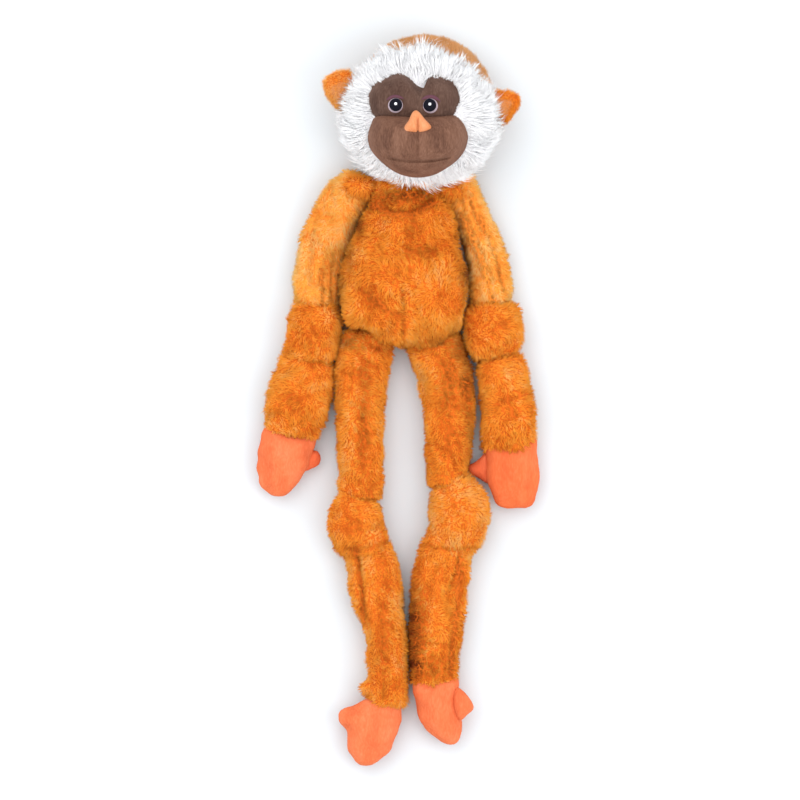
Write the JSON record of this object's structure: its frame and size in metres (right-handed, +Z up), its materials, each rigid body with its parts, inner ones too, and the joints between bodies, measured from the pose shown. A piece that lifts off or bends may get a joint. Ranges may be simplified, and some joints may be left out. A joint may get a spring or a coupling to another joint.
{
  "type": "plush monkey",
  "caption": "Long-limbed plush monkey lying on its back, with stuffed balls at the elbows and knees, a fur ruff, mitten hands and floppy sewn joints.",
  "frame": {"origin": "middle of the bounding box, on the surface the toy lies on", "axes": "+Y from the feet to the crown, +Z up out of the chest, so the toy's own right side is at -X"},
  "size_m": [0.2058, 0.544, 0.108],
  "materials": {
    "orange_fur": "curly pile, matt",
    "tan_fur": "short pile, matt",
    "white_fur": "long pile, matt",
    "pale_lining": "short pile, matt",
    "brown_velboa": "short velour pile, matt",
    "coral_velboa": "short velour pile, matt",
    "nose_velboa": "short velour pile, matt",
    "eye_thread": "satin-stitched rayon thread",
    "polyester_filling": "loose polyester fibre"
  },
  "bodies": {
    "torso": {"torso_cover": "orange_fur", "torso_filling": "polyester_filling"},
    "neck": {"neck_yoke": "orange_fur"},
    "head": {"head_cover": "tan_fur", "head_filling": "polyester_filling", "mane": "white_fur", "brow_panel": "brown_velboa", "muzzle_panel": "brown_velboa", "chin_panel": "brown_velboa", "nose": "nose_velboa", "right_eye": "eye_thread", "left_eye": "eye_thread"},
    "right_ear": {"right_ear": "orange_fur", "right_ear_lining": "pale_lining"},
    "left_ear": {"left_ear": "orange_fur", "left_ear_lining": "pale_lining"},
    "right_shoulder": {"right_shoulder_gusset": "orange_fur"},
    "right_upper_arm": {"right_upper_arm_cover": "orange_fur", "right_upper_arm_filling": "polyester_filling"},
    "right_elbow": {"right_elbow_cover": "orange_fur", "right_elbow_filling": "polyester_filling"},
    "right_forearm": {"right_forearm_cover": "orange_fur", "right_forearm_filling": "polyester_filling"},
    "right_hand": {"right_hand": "coral_velboa", "right_hand_filling": "polyester_filling", "right_thumb": "coral_velboa"},
    "right_hip": {"right_hip_gather": "orange_fur"},
    "right_thigh": {"right_thigh_cover": "orange_fur", "right_thigh_filling": "polyester_filling"},
    "right_knee": {"right_knee_cover": "orange_fur", "right_knee_filling": "polyester_filling"},
    "right_shin": {"right_shin_cover": "orange_fur", "right_shin_filling": "polyester_filling"},
    "right_foot": {"right_foot": "coral_velboa", "right_foot_filling": "polyester_filling", "right_big_toe": "coral_velboa"},
    "left_shoulder": {"left_shoulder_gusset": "orange_fur"},
    "left_upper_arm": {"left_upper_arm_cover": "orange_fur", "left_upper_arm_filling": "polyester_filling"},
    "left_elbow": {"left_elbow_cover": "orange_fur", "left_elbow_filling": "polyester_filling"},
    "left_forearm": {"left_forearm_cover": "orange_fur", "left_forearm_filling": "polyester_filling"},
    "left_hand": {"left_hand": "coral_velboa", "left_hand_filling": "polyester_filling", "left_thumb": "coral_velboa"},
    "left_hip": {"left_hip_gather": "orange_fur"},
    "left_thigh": {"left_thigh_cover": "orange_fur", "left_thigh_filling": "polyester_filling"},
    "left_knee": {"left_knee_cover": "orange_fur", "left_knee_filling": "polyester_filling"},
    "left_shin": {"left_shin_cover": "orange_fur", "left_shin_filling": "polyester_filling"},
    "left_foot": {"left_foot": "coral_velboa", "left_foot_filling": "polyester_filling", "left_big_toe": "coral_velboa"}
  },
  "joints": [
    {"name": "neck_turn", "type": "hinge", "parent": "torso", "child": "neck", "pos_m": [0.01, 0.162, 0.025], "axis": [0, 1, 0], "range_deg": [-20, 20]},
    {"name": "neck_nod", "type": "hinge", "parent": "neck", "child": "head", "pos_m": [0.01, 0.167, 0.025], "axis": [1, 0, 0], "range_deg": [0, 22]},
    {"name": "right_ear_fold", "type": "hinge", "parent": "head", "child": "right_ear", "pos_m": [-0.0355, 0.233, 0.033], "axis": [0, -1, 0], "range_deg": [-30, 8]},
    {"name": "left_ear_fold", "type": "hinge", "parent": "head", "child": "left_ear", "pos_m": [0.0685, 0.224, 0.033], "axis": [0, 1, 0], "range_deg": [-30, 8]},
    {"name": "right_shoulder_swing", "type": "hinge", "parent": "torso", "child": "right_shoulder", "pos_m": [-0.042, 0.159, 0.015], "axis": [-1, 0, 0], "range_deg": [0, 85]},
    {"name": "right_shoulder_raise", "type": "hinge", "parent": "right_shoulder", "child": "right_upper_arm", "pos_m": [-0.042, 0.159, 0.015], "axis": [0, 0, -1], "range_deg": [0, 90]},
    {"name": "right_elbow_bend", "type": "hinge", "parent": "right_upper_arm", "child": "right_elbow", "pos_m": [-0.061, 0.07, 0.015], "axis": [-0.978, 0.2088, 0], "range_deg": [0, 45]},
    {"name": "right_elbow_sway", "type": "hinge", "parent": "right_elbow", "child": "right_forearm", "pos_m": [-0.0675, 0.031, 0.015], "axis": [0, 0, -1], "range_deg": [-2, 40]},
    {"name": "right_wrist_bend", "type": "hinge", "parent": "right_forearm", "child": "right_hand", "pos_m": [-0.0795, -0.024, 0.015], "axis": [-0.9802, 0.1981, 0], "range_deg": [0, 50]},
    {"name": "right_hip_swing", "type": "hinge", "parent": "torso", "child": "right_hip", "pos_m": [-0.0235, 0.039, 0.0155], "axis": [-1, 0, 0], "range_deg": [0, 60]},
    {"name": "right_hip_turn", "type": "hinge", "parent": "right_hip", "child": "right_thigh", "pos_m": [-0.0235, 0.039, 0.0155], "axis": [-0.0504, -0.9987, 0], "range_deg": [-35, 35]},
    {"name": "right_knee_bend", "type": "hinge", "parent": "right_thigh", "child": "right_knee", "pos_m": [-0.029, -0.07, 0.0155], "axis": [-0.9987, 0.0504, 0], "range_deg": [0, 45]},
    {"name": "right_knee_sway", "type": "hinge", "parent": "right_knee", "child": "right_shin", "pos_m": [-0.025, -0.112, 0.0155], "axis": [0, 0, -1], "range_deg": [0, 35]},
    {"name": "right_ankle_bend", "type": "hinge", "parent": "right_shin", "child": "right_foot", "pos_m": [-0.009, -0.224, 0.0155], "axis": [-0.9757, 0.219, 0], "range_deg": [0, 45]},
    {"name": "left_shoulder_swing", "type": "hinge", "parent": "torso", "child": "left_shoulder", "pos_m": [0.0495, 0.157, 0.015], "axis": [-1, 0, 0], "range_deg": [0, 85]},
    {"name": "left_shoulder_raise", "type": "hinge", "parent": "left_shoulder", "child": "left_upper_arm", "pos_m": [0.0495, 0.157, 0.015], "axis": [0, 0, 1], "range_deg": [0, 90]},
    {"name": "left_elbow_bend", "type": "hinge", "parent": "left_upper_arm", "child": "left_elbow", "pos_m": [0.0685, 0.073, 0.015], "axis": [-0.9754, -0.2206, 0], "range_deg": [0, 45]},
    {"name": "left_elbow_sway", "type": "hinge", "parent": "left_elbow", "child": "left_forearm", "pos_m": [0.075, 0.032, 0.015], "axis": [0, 0, 1], "range_deg": [-2, 40]},
    {"name": "left_wrist_bend", "type": "hinge", "parent": "left_forearm", "child": "left_hand", "pos_m": [0.085, -0.036, 0.015], "axis": [-0.9997, -0.0232, 0], "range_deg": [0, 50]},
    {"name": "left_hip_swing", "type": "hinge", "parent": "torso", "child": "left_hip", "pos_m": [0.029, 0.037, 0.0155], "axis": [-1, 0, 0], "range_deg": [0, 60]},
    {"name": "left_hip_turn", "type": "hinge", "parent": "left_hip", "child": "left_thigh", "pos_m": [0.029, 0.037, 0.0155], "axis": [0.1093, -0.994, 0], "range_deg": [-35, 35]},
    {"name": "left_knee_bend", "type": "hinge", "parent": "left_thigh", "child": "left_knee", "pos_m": [0.04, -0.063, 0.0155], "axis": [-0.994, -0.1093, 0], "range_deg": [0, 45]},
    {"name": "left_knee_sway", "type": "hinge", "parent": "left_knee", "child": "left_shin", "pos_m": [0.038, -0.109, 0.0155], "axis": [0, 0, 1], "range_deg": [0, 35]},
    {"name": "left_ankle_bend", "type": "hinge", "parent": "left_shin", "child": "left_foot", "pos_m": [0.027, -0.211, 0.0155], "axis": [-0.9881, -0.1537, 0], "range_deg": [0, 45]}
  ]
}
